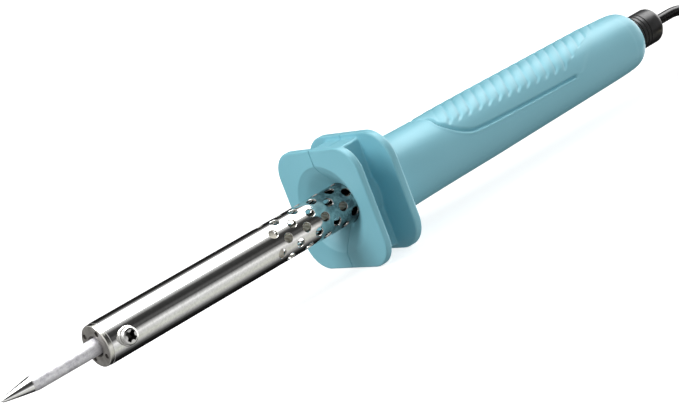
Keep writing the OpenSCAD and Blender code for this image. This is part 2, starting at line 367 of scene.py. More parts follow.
def mat_tip():
    m = Nodes("plated_bit")
    sep = m.node("ShaderNodeSeparateXYZ")
    m.link(m.co, sep.inputs[0])
    x = sep.outputs[0]
    # polished point in front, sprayed coating on the shank behind 9.8 mm
    ragged = m.math("ADD", x, m.math("MULTIPLY", m.noise(900, 4, 0.6), 0.0010))
    shank = m.rng(ragged, -0.1293, -0.1288, 0.0, 1.0)
    mott = m.noise(620, 5, 0.6, m.mapped((0.8, 1, 1)), 0.4)
    mott2 = m.noise(2300, 5, 0.7)
    blend = m.math("ADD", m.math("MULTIPLY", mott, 0.55), m.math("MULTIPLY", mott2, 0.45))
    coat = m.ramp(blend, [(0.34, (0.50, 0.49, 0.53)), (0.46, (0.74, 0.73, 0.77)), (0.56, (0.90, 0.90, 0.92)), (0.7, (0.97, 0.97, 0.97))])
    rings = m.noise(2500, 3, 0.6, m.mapped((1, 0.05, 0.05)))
    point = m.mix(m.rng(rings, 0.3, 0.7, 0, 1), (0.90, 0.90, 0.90), (0.84, 0.83, 0.82))
    base = m.mix(shank, point, coat)
    rough = m.math("ADD", m.math("MULTIPLY", shank, m.rng(mott2, 0.3, 0.7, 0.44, 0.58)), m.math("MULTIPLY", m.math("SUBTRACT", 1.0, shank), 0.07))
    h = m.math("ADD", m.math("MULTIPLY", m.math("MULTIPLY", mott, shank), 0.8), m.math("MULTIPLY", m.math("MULTIPLY", mott2, shank), 0.55))
    h = m.math("ADD", h, m.math("MULTIPLY", rings, 0.01))
    metal = m.rng(shank, 0.0, 1.0, 1.0, 0.62)
    return m.set(Base_Color=base, Metallic=metal, Roughness=rough, Normal=m.bump(h, 0.5, 0.0002))


def mat_rubber(name, base=(0.018, 0.018, 0.019), rough=0.42, scale=1400):
    m = Nodes(name)
    a = m.noise(scale, 4, 0.6)
    b = m.noise(160, 4, 0.6)
    dust = tuple(x * 1.9 + 0.004 for x in base)
    c = m.mix(m.rng(b, 0.4, 0.75, 0.0, 0.7), base, dust)
    return m.set(Base_Color=c, Roughness=m.rng(a, 0.3, 0.7, rough - 0.06, rough + 0.08), Specular_IOR_Level=0.24, Normal=m.bump(a, 0.15, 0.00004))


def mat_ceramic():
    m = Nodes("fired_ceramic")
    a = m.noise(900, 5, 0.6)
    c = m.ramp(a, [(0.35, (0.74, 0.70, 0.60)), (0.65, (0.83, 0.80, 0.72))])
    return m.set(Base_Color=c, Roughness=m.rng(a, 0.3, 0.7, 0.55, 0.75), Normal=m.bump(a, 0.2, 0.00005))


def mat_mica():
    m = Nodes("mica_sheet")
    a = m.noise(500, 6, 0.65, m.mapped((0.4, 1, 1)))
    c = m.ramp(a, [(0.3, (0.30, 0.24, 0.13)), (0.55, (0.46, 0.38, 0.22)), (0.75, (0.62, 0.54, 0.36))])
    return m.set(Base_Color=c, Roughness=m.rng(a, 0.3, 0.7, 0.25, 0.45), Metallic=0.25, Normal=m.bump(a, 0.2, 0.00004))


def mat_cloth(name, a0, a1, scale=2200):
    m = Nodes(name)
    w = m.node("ShaderNodeTexWave", wave_type="BANDS", bands_direction="DIAGONAL")
    w.inputs["Scale"].default_value = scale / 6
    w.inputs["Distortion"].default_value = 1.5
    m.link(m.co, w.inputs["Vector"])
    n = m.noise(scale, 4, 0.6)
    f = m.math("ADD", m.math("MULTIPLY", w.outputs["Fac"], 0.6), m.math("MULTIPLY", n, 0.4))
    c = m.ramp(f, [(0.25, a0), (0.75, a1)])
    return m.set(Base_Color=c, Roughness=m.rng(n, 0.3, 0.7, 0.55, 0.8), Normal=m.bump(f, 0.4, 0.0001))


def mat_pvc(name, base):
    m = Nodes(name)
    a = m.noise(1100, 4, 0.6)
    dark = tuple(x * 0.8 for x in base)
    return m.set(Base_Color=m.mix(m.rng(a, 0.35, 0.65, 0, 1), dark, base), Roughness=m.rng(a, 0.3, 0.7, 0.36, 0.5), Normal=m.bump(a, 0.12, 0.00003))


MAT = {
    "handle": mat_plastic(),
    "barrel": mat_barrel(),
    "tip": mat_tip(),
    "nose": mat_metal("blasted_steel", (0.44, 0.425, 0.40), (0.15, 0.14, 0.125), 0.46, 1100, 0.16, 0.7),
    "nose_rim": mat_metal("turned_steel", (0.80, 0.79, 0.74), (0.66, 0.65, 0.60), 0.20, 900, 0.08, 0.15),
    # painted shade for the nose's pits and bore mouth
    "nose_pit_shade": mat_metal("pit_shade_steel", (0.16, 0.15, 0.14), (0.08, 0.075, 0.07), 0.5, 1100, 0.16, 0.4),
    "screw": mat_metal("nickel_screw", (0.68, 0.68, 0.66), (0.48, 0.47, 0.45), 0.15, 700, 0.08, 0.10),
    # painted shade: near-black steel for the inside of the screw head's cross recess
    "recess": mat_metal("recess_shade_steel", (0.05, 0.05, 0.045), (0.02, 0.02, 0.02), 0.4, 900, 0.12, 0.15),
    "screw_dark": mat_metal("blackened_screw", (0.10, 0.10, 0.105), (0.05, 0.05, 0.05), 0.34, 700, 0.12, 0.15),
    "crimp": mat_metal("tinned_crimp", (0.72, 0.72, 0.72), (0.56, 0.56, 0.55), 0.3, 800, 0.12, 0.15),
    "wire": mat_metal("heater_wire", (0.36, 0.33, 0.30), (0.22, 0.20, 0.18), 0.42, 1200, 0.14, 0.2),
    "lead": mat_metal("nickel_lead", (0.62, 0.60, 0.55), (0.45, 0.43, 0.38), 0.3, 900, 0.12, 0.15),
    "brass": mat_metal("plated_blade", (0.83, 0.76, 0.55), (0.70, 0.62, 0.42), 0.2, 500, 0.1, 0.1, (0.2, 1, 1)),
    "grommet": mat_rubber("grommet_rubber", (0.007, 0.007, 0.0075), 0.34),
    "cord": mat_rubber("cord_sheath", (0.006, 0.006, 0.0065), 0.24, 1800),
    "tie": mat_rubber("cable_tie", (0.022, 0.022, 0.024), 0.5, 1600),
    "plug": mat_rubber("plug_plastic", (0.016, 0.016, 0.017), 0.4, 1500),
    "ceramic": mat_ceramic(),
    "mica": mat_mica(),
    "glass_sleeve": mat_cloth("glass_braid", (0.52, 0.48, 0.38), (0.80, 0.77, 0.68)),
    "core_brown": mat_pvc("brown_core", (0.16, 0.06, 0.025)),
    "core_blue": mat_pvc("blue_core", (0.04, 0.13, 0.42)),
    "clamp": mat_pvc("clamp_bar", (0.62, 0.60, 0.54)),
}

CARRIED = {
    "heater_former": "ceramic", "rear_bead": "ceramic", "heater_winding": "wire", "mica_sleeve": "mica",
    "barrel_collar": "screw", "live_lead": "lead", "neutral_lead": "lead", "live_sleeving": "glass_sleeve",
    "neutral_sleeving": "glass_sleeve", "live_crimp": "crimp", "neutral_crimp": "crimp", "live_core": "core_brown",
    "neutral_core": "core_blue", "cord_entry": "cord", "cord_clamp": "clamp", "cord_clamp_screws": "screw",
}
for n, k in CARRIED.items():
    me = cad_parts[n].data
    me.materials.clear()
    me.materials.append(MAT[k])

# ---------------------------------------------------------------- cord, coil, tie and plug
# heights in these points are over the floor
LEAD_IN = [(278.6, 0, 19.25), (284, 0, 19.25), (289.5, 0, 19.2), (293.1, 0, 18.6), (296.5, 0, 17.2), (299.5, 0, 15.1), (301.8, 0, 12.6), (304.9, 0, 8.9), (308.7, 0, 5.9), (313, 0, 3.6), (317.7, 0, 2.3), (322.5, 0, 1.9), (329, 0, 2.0), (336, 0, 2.2), (342.7, 1.3, 2.3), (348.5, 5.1, 2.4), (352.4, 10.6, 2.4)]
RUN_OUT = [(359.4, -19.8, 13.2), (355.2, -17.5, 12.9), (351.4, -16.3, 11.7), (347.4, -16, 9.5), (343.4, -16, 7.5), (339.6, -16, 6.5), (336.05, -16, 6.5)]
CORD_R = 1.8


def coil_route():
    n, climb = 2.2985, 0.2
    ro, ri = 25.9, 17.5
    out = []
    a = 155.8

    def go(turns, r0, r1, z0, z1, ease=False):
        nonlocal a
        k = int(math.ceil(turns * 40))
        for i in range(1, k + 1):
            t = i / k
            e = t * t * (3 - 2 * t) if ease else t
            ang = math.radians(a - 360 * turns * t)
            r = r0 + (r1 - r0) * t
            out.append((376 + r * math.cos(ang), r * math.sin(ang), z0 + (z1 - z0) * e))
        a -= 360 * turns

    zs = [2.4, 6.0, 9.6, 13.2]
    for layer in range(4):
        r0, r1 = (ro, ri) if layer % 2 == 0 else (ri, ro)
        go(n, r0, r1, zs[layer], zs[layer])
        if layer < 3:
            go(climb, r1, r1, zs[layer], zs[layer + 1], True)
    return out


coil = coil_route()
route = LEAD_IN + coil[:-1] + RUN_OUT
route = spline(route[: len(LEAD_IN)], 1.5)[:-1].tolist() + [LEAD_IN[-1]] + coil[:-1] + spline([coil[-2]] + RUN_OUT, 1.2)[1:].tolist()
route = np.array(route)
route[:, 2] -= AXIS
cv, cf = tube(route, CORD_R, 20)
cord = build("cord_lead", cv, cf, MAT["cord"], "iron", ["cord", "cord_coil"], 40)

# tie round the coil: a flat band
def rrect(w, h, r, n=6):
    pts = []
    for cx, cy, a0 in ((w / 2 - r, h / 2 - r, 0), (-w / 2 + r, h / 2 - r, 90), (-w / 2 + r, -h / 2 + r, 180), (w / 2 - r, -h / 2 + r, 270)):
        pts += [(cx + r * math.cos(math.radians(a0 + 90 * i / n)), cy + r * math.sin(math.radians(a0 + 90 * i / n))) for i in range(n + 1)]
    return pts


def band(x0, x1, yc, zc, outer, inner, bevel=0.25):
    """Closed band round the x direction, from outline sizes (w, h, r), with slightly rounded edges."""
    rings = []
    for x, o in ((x0, bevel), (x0 + bevel, 0), (x1 - bevel, 0), (x1, bevel)):
        rings.append([(x, yc + p[0], zc + p[1]) for p in rrect(outer[0] - 2 * o, outer[1] - 2 * o, outer[2] - o)])
    for x, o in ((x1, bevel * 0.6), (x1 - bevel, 0), (x0 + bevel, 0), (x0, bevel * 0.6)):
        rings.append([(x, yc + p[0], zc + p[1]) for p in rrect(inner[0] + 2 * o, inner[1] + 2 * o, inner[2] + o)])
    n = len(rings[0])
    verts = [p for r in rings for p in r]
    faces = []
    for i in range(len(rings)):
        j = (i + 1) % len(rings)
        for k in range(n):
            faces.append((i * n + k, i * n + (k + 1) % n, j * n + (k + 1) % n, j * n + k))
    return np.array(verts), faces


tv, tf = band(372, 380, 21.35, 7.9 - AXIS, (14.5, 15.8, 2.0), (13.3, 14.6, 1.5))
tie = build("cord_tie_band", tv, tf, MAT["tie"], "iron", ["cord_tie"], 40)


def box_round(x0, x1, w, h, rc, e, yc=0, zc=0, n=8, ne=4):
    """Box along x with corner radius rc in the yz plane and edge radius e at both ends."""
    rings = []
    for i in range(ne + 1):
        t = math.radians(90 * i / ne)
        rings.append((x0 + e * (1 - math.sin(t)), e * (1 - math.cos(t))))
    rings = [(x0 + e * (1 - math.sin(math.radians(90 * i / ne))), e * (1 - math.sin(math.radians(90 * (ne - i) / ne)))) for i in range(ne, -1, -1)]
    rings = [(x0 + e - e * math.cos(math.radians(90 * i / ne)), e - e * math.sin(math.radians(90 * i / ne))) for i in range(ne + 1)]
    rings += [(x1 - e + e * math.cos(math.radians(90 * i / ne)), e - e * math.sin(math.radians(90 * i / ne))) for i in range(ne, -1, -1)]
    verts, faces = [], []
    for x, o in rings:
        verts += [(x, yc + p[0], zc + p[1]) for p in rrect(w - 2 * o, h - 2 * o, max(rc - o, 0.05), n)]
    m = 4 * (n + 1)
    for i in range(len(rings) - 1):
        for k in range(m):
            faces.append((i * m + k, i * m + (k + 1) % m, (i + 1) * m + (k + 1) % m, (i + 1) * m + k))
    faces.append(tuple(range(m - 1, -1, -1)))
    faces.append(tuple(range((len(rings) - 1) * m, len(rings) * m)))
    return np.array(verts), faces


# plug: waisted moulding, lofted along x, with a ribbed strain relief behind it
PY, PZ = -16.0, 6.5 - AXIS
secs = []
for x, w, h, rc in ((300, 19.4, 10.4, 2.2), (300.5, 20.8, 11.8, 2.8), (301.4, 21.7, 12.7, 3.1), (302.6, 22, 13, 3.2), (306, 22, 13, 3.4), (309.5, 21.2, 12.2, 3.6), (312.5, 20.4, 11.4, 3.8), (315.5, 20.2, 11.4, 4.0), (318, 19.4, 11.4, 4.4), (320.4, 17.2, 11.2, 5.0), (322.2, 14.2, 10.9, 5.2), (323.4, 11.8, 10.6, 5.1), (324, 10.7, 10.5, 5.2)):
    secs.append((x, w, h, rc))
for i, (x, r) in enumerate(((325.6, 5.15), (325.9, 4.4), (327.0, 4.3), (327.3, 4.75), (328.7, 4.45), (329.0, 3.85), (330.1, 3.7), (330.4, 4.1), (331.8, 3.75), (332.1, 3.25), (333.2, 3.1), (333.5, 3.35), (335.6, 2.7), (336, 2.45))):
    secs.append((x, 2 * r, 2 * r, r * 0.99))
pv, pf = [], []
for x, w, h, rc in secs:
    pv += [(x, PY + p[0], PZ + p[1]) for p in rrect(w, h, rc, 8)]
mm = 36
for i in range(len(secs) - 1):
    for k in range(mm):
        pf.append((i * mm + k, i * mm + (k + 1) % mm, (i + 1) * mm + (k + 1) % mm, (i + 1) * mm + k))
pf.append(tuple(range(mm - 1, -1, -1)))
pf.append(tuple(range((len(secs) - 1) * mm, len(secs) * mm)))
plug = build("plug_moulding", pv, pf, MAT["plug"], "iron", ["plug_body"], 30)
cut(plug, [box_round(299, 303.95, 1.56, 6.36, 0.1, 0.02, PY + s * 6.35, PZ) for s in (-1, 1)])
smooth(plug.data, 30)


def blade(y):
    """Flat blade with a rounded, chamfered front end; the hole is cut afterwards."""
    out = []
    hw = 3.15
    pts = [(304.0, hw), (286.6, hw), (285.4, hw - 0.35), (284.5, hw - 1.0), (284.0, hw - 1.7), (284.0, -hw + 1.7), (284.5, -hw + 1.0), (285.4, -hw + 0.35), (286.6, -hw), (304.0, -hw)]
    verts, faces = [], []
    for yy, o in ((-0.75, 0.22), (-0.53, 0), (0.53, 0), (0.75, 0.22)):
        for x, z in pts:
            verts.append((x + (o if x < 303 else 0), PY + y + yy, PZ + z - math.copysign(o, z)))
    n = len(pts)
    for i in range(3):
        for k in range(n):
            faces.append((i * n + k, i * n + (k + 1) % n, (i + 1) * n + (k + 1) % n, (i + 1) * n + k))
    faces.append(tuple(range(n - 1, -1, -1)))
    faces.append(tuple(range(3 * n, 4 * n)))
    return np.array(verts), faces


bv, bf = join([blade(-6.35), blade(6.35)])
blades = build("plug_blade_pair", bv, bf, MAT["brass"], "iron", ["plug_blades"], 30)
hv, hf = lathe([(-30, 0), (-30, 1.6), (0, 1.6), (0, 0)], 40, "y", (288, 0, PZ))
cut(blades, [(hv, hf)])
smooth(blades.data, 30)

# ---------------------------------------------------------------- bit
prof = [(0.0, 0.0), (0.02, 0.17), (0.09, 0.33), (0.22, 0.46), (0.42, 0.57), (0.7, 0.66)]
for i in range(1, 22):
    t = i / 21
    prof.append((0.7 + (10.6 - 0.7) * t, 0.66 + (2.38 - 0.66) * t + 0.05 * math.sin(math.pi * t)))
prof += [(10.95, 2.44), (11.3, 2.475), (11.7, 2.495), (12.2, 2.5)]
prof += [(12.2 + i * 1.5, 2.5) for i in range(1, 45)] + [(79.6, 2.5), (79.9, 2.3), (80, 2.1), (80, 0)]
v, f = lathe(prof, 96)
bit = build("soldering_bit", v, f, MAT["tip"], "bit", ["soldering_tip"], 40)

# ---------------------------------------------------------------- nose cap
cap = [(44, 2.6), (44, 5.85), (34.0, 5.85), (34.0, 6.38), (33.0, 6.38), (32.8, 6.35), (32.65, 6.28), (32.55, 6.17), (32.5, 6.02)]
cap += [(32.5, 5.0), (32.5, 4.2), (32.5, 3.25), (32.58, 3.08), (32.8, 2.88), (33.1, 2.68), (33.3, 2.61), (33.5, 2.6)]
v, f = lathe(cap, 120)
nose = build("nose_ring", v, f, MAT["nose"], "iron", ["nose_cap"], 30)
tools = []
for k in range(4):
    a = math.radians(52 + 90 * k)
    y, z = -4.75 * math.cos(a), 4.75 * math.sin(a)
    dv, df = lathe([(31, 0), (31, 0.95), (32.45, 0.82), (33.1, 0.70), (33.4, 0.4), (33.5, 0)], 28, "x", (0, y, z))
    tools.append((dv, df))
tools.append(lathe([(-8, 0), (-8, 1.55), (0, 1.55), (0, 0)], 40, "y", (39.2, 0, 0)))
cut(nose, tools)
smooth(nose.data, 30)
# bright turned rim; painted shade: near-black steel in the pits and the bore's mouth
nose.data.materials.append(MAT["nose_rim"])
nose.data.materials.append(MAT["nose_pit_shade"])
for q in nose.data.polygons:
    c = q.center * 1000
    rad, cx = math.hypot(c.y, c.z - AXIS), c.x + MID
    if rad > 6.1 and cx < 34.02 and abs(q.normal.x) < 0.8:
        q.material_index = 1
    elif 32.51 < cx < 33.6 and (3.6 < rad < 5.9 or rad < 3.2):
        q.material_index = 2

# ---------------------------------------------------------------- clamp screw and washer
v, f = lathe([(-6.55, 1.62), (-6.55, 2.82), (-6.62, 2.91), (-6.72, 2.94), (-6.9, 2.92), (-7.03, 2.84), (-7.1, 2.72), (-7.1, 1.62)], 72, "y", (39.2, 0, 0))
washer = build("screw_collar", v, f, MAT["screw"], "washer", ["screw_washer"], 30)
# thread as a run of fine ridges on the shank, cross recess with sloping walls
sp = [(-2.56, 0), (-2.56, 1.1), (-2.9, 1.42)]
y = -3.1
while y > -6.9:
    sp += [(y, 1.5), (y - 0.25, 1.36)]
    y -= 0.5
sp += [(-7.1, 1.5), (-7.1, 2.4), (-7.2, 2.55), (-7.35, 2.6), (-8.0, 2.6), (-8.25, 2.56), (-8.45, 2.46), (-8.6, 2.28), (-8.68, 2.0), (-8.7, 1.7), (-8.7, 0)]
v, f = lathe(sp, 64, "y", (39.2, 0, 0))
screw = build("clamp_screw_pan", v, f, MAT["screw"], "screw", ["clamp_screw"], 30)


def recess(x, y0, z, arm, w, depth, turn, outward):
    """Cross shaped recess cutter that narrows with depth. outward is -1 for a head facing -y, +1 for +y."""
    out = []
    for a in (turn, turn + 90):
        ca, sa = math.cos(math.radians(a)), math.sin(math.radians(a))
        verts = []
        for yy, L, W in ((y0 + outward * 0.6, arm * 1.08, w * 1.1), (y0 - outward * depth, arm * 0.55, w * 0.55)):
            for sx, sz in ((-1, -1), (1, -1), (1, 1), (-1, 1)):
                lx, lz = sx * L, sz * W / 2
                verts.append((x + lx * ca - lz * sa, yy, z + lx * sa + lz * ca))
        out.append((np.array(verts), [(0, 1, 2, 3), (7, 6, 5, 4), (0, 4, 5, 1), (1, 5, 6, 2), (2, 6, 7, 3), (3, 7, 4, 0)]))
    return out


cut(screw, recess(39.2, -8.7, 0, 1.95, 1.3, 1.5, 45, -1) + [lathe([(-9.2, 0), (-9.2, 1.3), (-7.4, 0.9), (-7.2, 0)], 32, "y", (39.2, 0, 0))])
smooth(screw.data, 30)
# painted shade: faces inside the cross recess take the near-black recess material
screw.data.materials.append(MAT["recess"])
for q in screw.data.polygons:
    c = q.center * 1000
    if c.y > -8.62 and c.y < -7.12 and math.hypot(c.x + MID - 39.2, c.z - AXIS) < 2.1 and q.normal.y < 0.5:
        q.material_index = 1

# ---------------------------------------------------------------- barrel
BR, BI = 6.5, 5.9


def barrel_mesh():
    """Tube with twelve staggered rows of holes; each hole sits in its own patch, so that the tube's surface stays exactly round."""
    verts, faces, nrm = [], [], {}
    key = {}

    def vert(x, a, r):
        k = (round(x, 4), round(a % 360, 4), round(r, 4))
        if k not in key:
            key[k] = len(verts)
            t = math.radians(a)
            verts.append((x, -r * math.cos(t), r * math.sin(t)))
        return key[k]

    P, HR = 7.5, 1.5
    NX, NA = 8, 8
    x0, x1 = 97.7 - P / 2, 97.7 + 4.5 * P

    def patch(xc, ac, rad, hole_r):
        """outer boundary of the cell, a few rings, then the hole's edge; returns the edge's vertices"""
        edge = []
        for i in range(NX):
            edge.append((xc - P / 2 + P * i / NX, ac - 15))
        for i in range(NA):
            edge.append((xc + P / 2, ac - 15 + 30 * i / NA))
        for i in range(NX):
            edge.append((xc + P / 2 - P * i / NX, ac + 15))
        for i in range(NA):
            edge.append((xc - P / 2, ac + 15 - 30 * i / NA))
        rings = []
        n = len(edge)
        inner = []
        for e in edge:
            dx = e[0] - xc
            da = math.radians(e[1] - ac) * rad
            ph = math.atan2(da, dx)
            inner.append((xc + hole_r * math.cos(ph), ac + math.degrees(math.asin(hole_r * math.sin(ph) / rad))))
        for t in (0.0, 0.34, 0.62, 0.84, 1.0):
            rings.append([vert(e[0] + (i[0] - e[0]) * t, e[1] + (i[1] - e[1]) * t, rad) for e, i in zip(edge, inner)])
        for a, b in zip(rings, rings[1:]):
            for k in range(n):
                faces.append((a[k], a[(k + 1) % n], b[(k + 1) % n], b[k]))
        return rings[-1], inner

    def plain(xs, angs, rad):
        for i in range(len(xs) - 1):
            for j in range(len(angs) - 1):
                faces.append((vert(xs[i], angs[j], rad), vert(xs[i + 1], angs[j], rad), vert(xs[i + 1], angs[j + 1], rad), vert(xs[i], angs[j + 1], rad)))

    front = [34.25] + list(np.linspace(34.6, x0, 26))
    back = list(np.linspace(x1, 149.75, 12))
    for k in range(12):
        ac = 38 - 30 * k
        even = k % 2 == 0
        angs = [ac - 15 + 30 * j / NA for j in range(NA + 1)]
        xs = [97.7 + i * P for i in range(5)] if even else [97.7 + P / 2 + i * P for i in range(4)]
        for rad, hr in ((BR, HR + 0.10), (BI, HR + 0.04)):
            if k != 1 or rad != BR or True:
                plain(front if rad == BR else [34.0 if q == 34.25 else q for q in front], angs, rad)
                plain(back if rad == BR else back[:-1] + [150.0], angs, rad)
            if not even:
                plain([x0 + P / NX * i for i in range(NX // 2 + 1)], angs, rad)
                plain([x1 - P / 2 + P / NX * i for i in range(NX // 2 + 1)], angs, rad)
        for xc in xs:
            ro, po = patch(xc, ac, BR, HR + 0.10)
            ri, pi_ = patch(xc, ac, BI, HR + 0.04)
            rings = [ro]
            for rad, hr in ((BR - 0.06, HR + 0.02), (BR - 0.12, HR), (BI + 0.08, HR)):
                ring = []
                for (xx, aa) in po:
                    ph = math.atan2(math.radians(aa - ac) * BR, xx - xc)
                    ring.append(vert(xc + hr * math.cos(ph), ac + math.degrees(math.asin(hr * math.sin(ph) / rad)), rad))
                rings.append(ring)
            rings.append(ri)
            n = len(ro)
            for a, b in zip(rings, rings[1:]):
                for q in range(n):
                    faces.append((a[q], a[(q + 1) % n], b[(q + 1) % n], b[q]))
    # ends: slightly rounded lips
    allang = sorted({round((38 - 30 * k - 15 + 30 * j / NA) % 360, 4) for k in range(12) for j in range(NA)})
    m = len(allang)
    for xs in (((34.25, BR), (34.07, BR - 0.07), (34.0, BR - 0.2), (34.0, BI)), ((149.75, BR), (149.93, BR - 0.07), (150.0, BR - 0.2), (150.0, BI))):
        for (xa, ra), (xb, rb) in zip(xs, xs[1:]):
            for q in range(m):
                faces.append((vert(xa, allang[q], ra), vert(xa, allang[(q + 1) % m], ra), vert(xb, allang[(q + 1) % m], rb), vert(xb, allang[q], rb)))
    return np.array(verts), faces


v, f = barrel_mesh()
barrel = build("barrel_tube", v, f, MAT["barrel"], "iron", ["barrel"], 30)
cut(barrel, [lathe([(-8, 0), (-8, 1.7), (-3, 1.7), (-3, 0)], 48, "y", (39.2, 0, 0))])
smooth(barrel.data, 30)


def round_normals(o, r_out, r_in, tol=0.012):
    """Exact radial normals on the tube's outer and inner faces."""
    me = o.data
    co = np.empty(len(me.vertices) * 3, np.float32)
    me.vertices.foreach_get("co", co)
    co = co.reshape(-1, 3) * 1000
    y, z = co[:, 1], co[:, 2] - AXIS
    r = np.hypot(y, z)
    loop_n = np.empty(len(me.loops) * 3, np.float32)
    me.corner_normals.foreach_get("vector", loop_n)
    loop_n = loop_n.reshape(-1, 3)
    for p in me.polygons:
        rr = [r[i] for i in p.vertices]
        for target, s in ((r_out, 1), (r_in, -1)):
            if all(abs(q - target) < tol for q in rr):
                for li, vi in zip(p.loop_indices, p.vertices):
                    loop_n[li] = (0, s * y[vi] / r[vi], s * z[vi] / r[vi])
    me.normals_split_custom_set([tuple(map(float, q)) for q in loop_n])


round_normals(barrel, BR, BI)

# ---------------------------------------------------------------- grommet
g = [(259.6, 1.85), (259.6, 5.0), (262.1, 5.0), (262.1, 7.4), (264.5, 7.4), (264.5, 5.0), (265.1, 5.0), (265.4, 5.3), (265.4, 5.9), (265.5, 6.05), (265.7, 6.12)]
for r_at in (267.6, 269.3, 271.0):
    g += [(r_at - 0.34, 6.12), (r_at - 0.26, 6.08), (r_at - 0.12, 5.88), (r_at, 5.8), (r_at + 0.12, 5.88), (r_at + 0.26, 6.08), (r_at + 0.34, 6.12)]
g += [(276.2, 6.12)]
g += [(276.2 + 2.2 * math.sin(math.radians(a)), 3.92 + 2.2 * math.cos(math.radians(a))) for a in range(10, 91, 10)]
g += [(278.3, 3.2), (278.6, 2.6), (278.6, 1.85)]
v, f = lathe(g, 96)
grommet = build("grommet_boot", v, f, MAT["grommet"], "iron", ["cord_grommet"], 25)

# ---------------------------------------------------------------- handle
OUT = [(141.2, 12.75), (142.5, 12.47), (144, 12.28), (148, 12.02), (152, 11.86), (160, 11.7), (167, 11.6), (189, 11.45), (210, 11.15), (232, 10.85), (254, 10.5), (258, 10.35)]
END = [(258, 10.33), (260.3, 10.15), (261.7, 9.9), (262.8, 9.5), (263.7, 8.95), (264.4, 8.25), (264.9, 7.55), (265.2, 7.0), (265.35, 6.5)]


def pchip(px, py, x):
    px, py = np.asarray(px, float), np.asarray(py, float)
    h = np.diff(px)
    d = np.diff(py) / h
    mk = np.zeros(len(px))
    for i in range(1, len(px) - 1):
        if d[i - 1] * d[i] > 0:
            w1, w2 = 2 * h[i] + h[i - 1], h[i] + 2 * h[i - 1]
            mk[i] = (w1 + w2) / (w1 / d[i - 1] + w2 / d[i])
    mk[0], mk[-1] = d[0], d[-1]
    x = np.asarray(x, float)
    i = np.clip(np.searchsorted(px, x) - 1, 0, len(px) - 2)
    t = (x - px[i]) / h[i]
    return (2 * t ** 3 - 3 * t ** 2 + 1) * py[i] + (t ** 3 - 2 * t ** 2 + t) * h[i] * mk[i] + (-2 * t ** 3 + 3 * t ** 2) * py[i + 1] + (t ** 3 - t ** 2) * h[i] * mk[i + 1]


def rr_polar(al, w, h, rc):
    """Distance from the axis to a rounded rectangle, w across and h high, in direction al (degrees)."""
    c, s = np.abs(np.cos(np.radians(al))), np.abs(np.sin(np.radians(al)))
    a, b = w / 2, h / 2
    t = np.minimum(a / np.maximum(c, 1e-9), b / np.maximum(s, 1e-9))
    cx, cz = a - rc, b - rc
    corner = (t * c > cx) & (t * s > cz)
    dot = c * cx + s * cz
    disc = np.maximum(dot * dot - (cx * cx + cz * cz - rc * rc), 0)
    return np.where(corner, dot + np.sqrt(disc), t)


# groove round the grip pad, on the side of the seam that faces -y: distance along x, angle round the axis
PAD = [(165.0, 90), (167.8, 68), (168.2, 48), (171.4, 29), (175.6, 16), (178.7, 11.6), (183, 9.9), (187.3, 8.9), (198, 7.0), (209, 5.1), (226.8, 3.0)]
RIB_X0, RIB_P = 180.3, 4.45


def sstep(t):
    t = np.clip(t, 0, 1)
    return t * t * (3 - 2 * t)


_pad_curve = spline([(x, a * 0.2, 0) for x, a in PAD], 0.25)[:, :2]  # angle turned into about mm


def relief(X, A):
    """How far the grip's surface stands out of its plain outline, in mm, at x X and angle A from -90 to 90."""
    q = np.stack([X, A * 0.2], -1)
    d2 = ((q[..., None, :] - _pad_curve[None, None]) ** 2).sum(-1)
    k = d2.argmin(-1)
    d = np.sqrt(np.take_along_axis(d2, k[..., None], -1)[..., 0])
    ab = np.interp(X, _pad_curve[:, 0], _pad_curve[:, 1])
    inside = (A * 0.2 > ab) & (X > 163.0)
    sd = np.where(inside, d, -d)  # positive inside the pad
    fade_end = 1 - sstep((X - 226.2) / 0.8)
    groove = (0.14 * np.exp(-(((sd + 0.95) / 0.40) ** 2)) - 0.85 * np.exp(-((sd / 0.44) ** 2))) * np.where(X < 227.2, fade_end, 0) * (1 - 0.8 * sstep((A - 60) / 24.0))
    # the pad stands a little proud, and sinks back to the outline behind its last rib
    rear = 228.0 + (A - 3) * 0.26
    on = sstep((sd - 0.2) / 0.9) * (1 - sstep((X - rear) / 3.0)) * (X > 163)
    raised = 0.16 * on
    # ribs: soft crescents, each with a narrow valley behind it
    shift = 0.072 * (A - 27) + 0.0006 * (A - 27) ** 2
    end_lo = 36.5 - 0.325 * (X - 182)  # their lower ends
    hook = -0.9 * sstep((end_lo + 9 - A) / 12.0)
    u = (X - RIB_X0 - shift - hook) / RIB_P
    ph = u - np.floor(u)
    valley = np.minimum(ph, 1 - ph) * RIB_P
    soft = np.exp(-((valley / 0.55) ** 2))
    crown = 0.5 - 0.5 * np.cos(2 * np.pi * ph)
    lower = sstep((A - end_lo + 4) / 9.5)
    ahead = sstep((X - 164.5 - shift) / 6.0)
    last = 1 - sstep((u - 10.15) / 0.12 - np.maximum(A - 27, 0) * 0.8)
    span = lower * ahead * last * on
    near_end = 0.45 * np.exp(-(((A - end_lo - 3.5) / 5.5) ** 2))
    ribs = (-(0.36 + 0.22 * near_end) * soft + 0.14 * crown) * span
    # small thumb at the lower end of each valley
    dimple = 0.03 * np.exp(-((valley / 0.7) ** 2) - ((A - end_lo + 4.5) / 2.6) ** 2) * ahead * last * on
    return groove + raised + ribs + dimple


